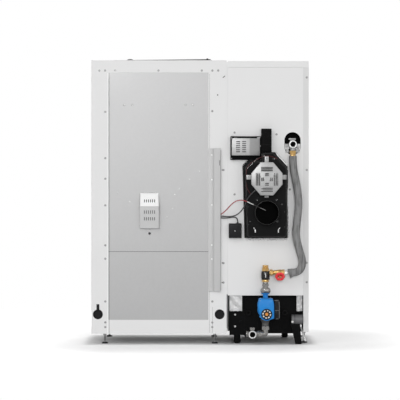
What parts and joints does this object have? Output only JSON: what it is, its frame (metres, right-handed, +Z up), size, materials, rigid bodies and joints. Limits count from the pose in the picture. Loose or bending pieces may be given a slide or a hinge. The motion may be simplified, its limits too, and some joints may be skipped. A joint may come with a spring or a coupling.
{
  "type": "pellet boiler",
  "caption": "Free-standing pellet boiler, rear side shown: pellet store with suction unit beside a boiler with flue gas fan, pump group and sheet-metal casing.",
  "frame": {"origin": "on the floor below the middle of the unit's bounding box, without the free cables and the hose", "axes": "+Z up; the rear side with the pipework faces -Y; +X to the right as seen from behind"},
  "size_m": [1.196, 0.83, 1.584],
  "materials": {
    "white_casing": "fine-textured powder coat",
    "casing_shade": "fine-textured powder coat",
    "galvanised_sheet": "fine spangle, rolled",
    "hood_sheet": "satin",
    "plated_sheet": "zinc plated",
    "black_sheet": "matt",
    "black_plastic": "moulded",
    "dark_steel": "matt oiled",
    "steel": "turned",
    "plated_fitting": "zinc plated fitting",
    "flow_fitting": "plated, turned face",
    "brass": "turned, slightly dull",
    "red_wheel": "gloss enamel",
    "blue_pump": "wet paint on cast iron",
    "dial_face": "moulded",
    "foil": "crumpled foil",
    "hose_sleeve": "closed-cell foam sleeve",
    "red_cable": "silicone sheath",
    "black_cable": "sheath",
    "probe_steel": "polished",
    "screw_zinc": "zinc plated",
    "display_glass": "gloss",
    "cast_iron": "raw casting",
    "store_sheet": "galvanised"
  },
  "bodies": {
    "casing": {"hopper_left_side": "white_casing", "hopper_right_side": "white_casing", "hopper_top_frame": "white_casing", "hopper_base_tray": "white_casing", "upper_back_sheet": "galvanised_sheet", "lower_back_sheet": "galvanised_sheet", "cable_channel": "casing_shade", "vent_hood": "hood_sheet", "lid_hinge": "dark_steel", "hopper_front_panel": "white_casing", "pellet_hopper": "store_sheet", "suction_turbine": "black_plastic", "auger_tube": "store_sheet", "auger_motor": "dark_steel", "boiler_rear_panel": "white_casing", "boiler_right_side": "casing_shade", "boiler_left_side": "casing_shade", "boiler_top_cover": "white_casing", "boiler_front_panel": "white_casing", "control_display": "display_glass", "boiler_base": "black_sheet", "boiler_legs": "black_sheet", "levelling_feet": "black_plastic", "water_vessel": "dark_steel", "vessel_insulation": "foil", "burner_grate": "cast_iron", "flue_housing": "black_sheet", "motor_cover": "plated_sheet", "fan_motor": "dark_steel", "flue_outlet": "black_sheet", "flue_probe": "probe_steel", "control_bracket": "black_sheet", "slotted_cover": "plated_sheet", "black_riser": "black_sheet", "sensor_box": "black_plastic", "flow_fitting": "flow_fitting", "bypass_valve": "brass", "mixing_valve": "black_plastic", "pump_unions": "plated_fitting", "pump_body": "blue_pump", "pump_connector": "black_plastic", "return_tee": "plated_fitting", "casing_screws": "screw_zinc", "flow_hose": "hose_sleeve", "probe_cable": "red_cable", "fan_cable": "black_cable", "sensor_cable": "black_cable"},
    "lid": {"hopper_lid": "white_casing", "lid_handle": "black_plastic"},
    "chamber_door": {"chamber_door": "white_casing"},
    "door_latch": {"door_latch": "black_plastic"},
    "ash_box": {"ash_box": "casing_shade"},
    "fan_wheel": {"fan_impeller": "steel"},
    "turbine_wheel": {"turbine_impeller": "steel"},
    "auger": {"auger_screw": "steel"},
    "turbulator_yoke": {"turbulators": "steel"},
    "cleaning_crank": {"cleaning_crank": "steel"},
    "pump_dial": {"pump_dial": "dial_face"},
    "handwheel": {"handwheel": "red_wheel"},
    "main_switch": {"main_switch": "black_plastic"}
  },
  "joints": [
    {"name": "lid_hinge", "type": "hinge", "parent": "casing", "child": "lid", "pos_m": [0.063, 0.026, 1.567], "axis": [0, 1, 0], "range_deg": [0, 95]},
    {"name": "chamber_door_hinge", "type": "hinge", "parent": "casing", "child": "chamber_door", "pos_m": [0.588, 0.361, 0.64], "axis": [0, 0, -1], "range_deg": [0, 110]},
    {"name": "door_latch_turn", "type": "hinge", "parent": "chamber_door", "child": "door_latch", "pos_m": [0.198, 0.391, 0.64], "axis": [0, -1, 0], "range_deg": [0, 90]},
    {"name": "ash_box_slide", "type": "slide", "parent": "casing", "child": "ash_box", "axis": [0, 1, 0], "range_m": [0, 0.28]},
    {"name": "fan_spin", "type": "hinge", "parent": "casing", "child": "fan_wheel", "pos_m": [0.364, -0.339, 0.908], "axis": [0, 1, 0], "continuous": true},
    {"name": "turbine_spin", "type": "hinge", "parent": "casing", "child": "turbine_wheel", "pos_m": [-0.278, -0.1905, 0.76], "axis": [0, 0, 1], "continuous": true},
    {"name": "auger_spin", "type": "hinge", "parent": "casing", "child": "auger", "pos_m": [-0.08, 0.061, 0.52], "axis": [1, 0, 0], "continuous": true},
    {"name": "crank_turn", "type": "hinge", "parent": "casing", "child": "cleaning_crank", "pos_m": [0.3675, 0.303, 1.3383], "axis": [0, -1, 0], "range_deg": [0, 60]},
    {"name": "turbulator_lift", "type": "slide", "parent": "casing", "child": "turbulator_yoke", "axis": [0, 0, 1], "range_m": [0, 0.04]},
    {"name": "pump_dial_turn", "type": "hinge", "parent": "casing", "child": "pump_dial", "pos_m": [0.362, -0.406, 0.173], "axis": [0, -1, 0], "range_deg": [-135, 135]},
    {"name": "handwheel_turn", "type": "hinge", "parent": "casing", "child": "handwheel", "pos_m": [0.436, -0.35518, 0.378], "axis": [0, -0.866, -0.5], "range_deg": [0, 1080]},
    {"name": "main_switch_rock", "type": "hinge", "parent": "casing", "child": "main_switch", "pos_m": [0.242, 0.371, 1.345], "axis": [1, 0, 0], "range_deg": [0, 14]}
  ],
  "couplings": [
    {"joint": "turbulator_lift", "follows": "crank_turn", "m_per_rad": 0.038}
  ]
}
